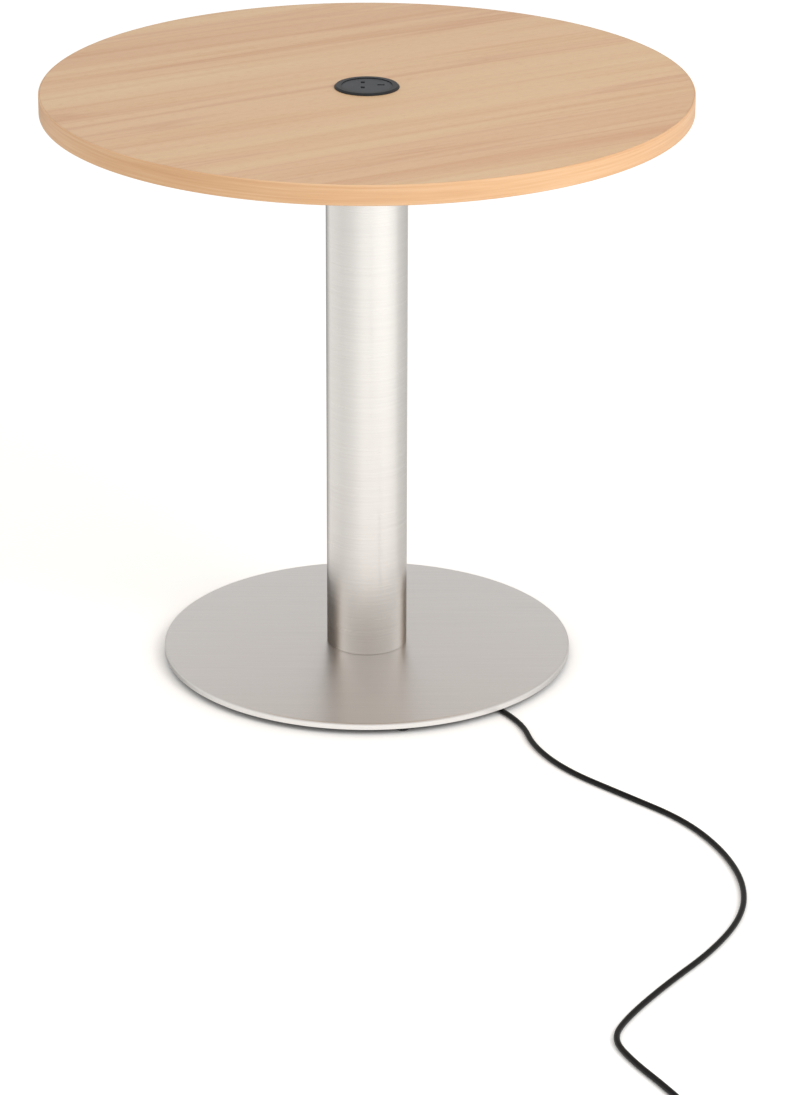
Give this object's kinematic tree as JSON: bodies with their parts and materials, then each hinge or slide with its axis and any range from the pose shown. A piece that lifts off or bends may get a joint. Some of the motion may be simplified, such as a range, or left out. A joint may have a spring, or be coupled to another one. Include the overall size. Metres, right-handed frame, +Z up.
{
  "type": "pedestal table with power socket",
  "caption": "Round beech-effect table on a brushed steel column and flat disc base with levelling glides; a power socket in the top, its mains lead leaving under the base.",
  "frame": {"origin": "on the floor, on the column's axis", "axes": "+Z up along the column; -Y towards the viewer of the picture; +X to the viewer's right, where the lead leaves"},
  "size_m": [0.8309, 1.7085, 0.753],
  "materials": {
    "beech_board": "beech melamine, satin",
    "beech_edge": "ABS edging printed beech",
    "black_steel": "black powder coat",
    "plain_steel": "mill steel",
    "zinc_steel": "zinc plated",
    "brushed_column": "brushed round the tube",
    "brushed_base": "brushed",
    "black_rubber": "matt",
    "glide_nylon": "moulded nylon",
    "module_plastic": "fine spark texture",
    "face_plastic": "satin",
    "shutter_plastic": "moulded",
    "spring_steel": "bright strip",
    "contact_brass": "bright",
    "lead_sheath": "PVC sheath, satin",
    "tie_fabric": "hook and loop strap",
    "plug_plastic": "moulded"
  },
  "bodies": {
    "frame": {"table_top": "beech_board", "edge_band": "beech_edge", "top_plate": "black_steel", "top_plate_screws": "zinc_steel", "column_tube": "brushed_column", "column_head_ring": "plain_steel", "head_ring_bolts": "zinc_steel", "column_foot_ring": "plain_steel", "base_weight": "black_steel", "base_cover": "brushed_base", "base_bolts": "zinc_steel", "base_grommet": "black_rubber", "module_housing": "module_plastic", "socket_face": "face_plastic", "shutter_spring": "spring_steel", "contact_carrier": "shutter_plastic", "live_contact": "contact_brass", "neutral_contact": "contact_brass", "earth_contact": "contact_brass", "module_rear_cover": "module_plastic", "module_screws": "zinc_steel", "retaining_clips": "spring_steel", "lead_gland": "black_rubber", "lead_inside": "lead_sheath", "lead_free": "lead_sheath", "lead_coil": "lead_sheath", "coil_tie": "tie_fabric", "plug_body": "plug_plastic", "plug_pins": "contact_brass", "plug_fuse_lid": "plug_plastic", "plug_sleeve": "black_rubber"},
    "shutter": {"socket_shutter": "shutter_plastic"},
    "glide_1": {"glide_pad_1": "glide_nylon", "glide_stud_1": "zinc_steel"},
    "glide_2": {"glide_pad_2": "glide_nylon", "glide_stud_2": "zinc_steel"},
    "glide_3": {"glide_pad_3": "glide_nylon", "glide_stud_3": "zinc_steel"},
    "glide_4": {"glide_pad_4": "glide_nylon", "glide_stud_4": "zinc_steel"},
    "glide_5": {"glide_pad_5": "glide_nylon", "glide_stud_5": "zinc_steel"}
  },
  "joints": [
    {"name": "glide_1_screw", "type": "slide", "parent": "frame", "child": "glide_1", "axis": [0, 0, -1], "range_m": [0, 0.004]},
    {"name": "glide_2_screw", "type": "slide", "parent": "frame", "child": "glide_2", "axis": [0, 0, -1], "range_m": [0, 0.004]},
    {"name": "glide_3_screw", "type": "slide", "parent": "frame", "child": "glide_3", "axis": [0, 0, -1], "range_m": [0, 0.004]},
    {"name": "glide_4_screw", "type": "slide", "parent": "frame", "child": "glide_4", "axis": [0, 0, -1], "range_m": [0, 0.004]},
    {"name": "glide_5_screw", "type": "slide", "parent": "frame", "child": "glide_5", "axis": [0, 0, -1], "range_m": [0, 0.004]},
    {"name": "shutter_slide", "type": "slide", "parent": "frame", "child": "shutter", "axis": [-1, 0, 0], "range_m": [0, 0.0064], "stiffness_N_per_m": 120, "springref_m": -0.008, "deforming": ["shutter_spring"]}
  ]
}
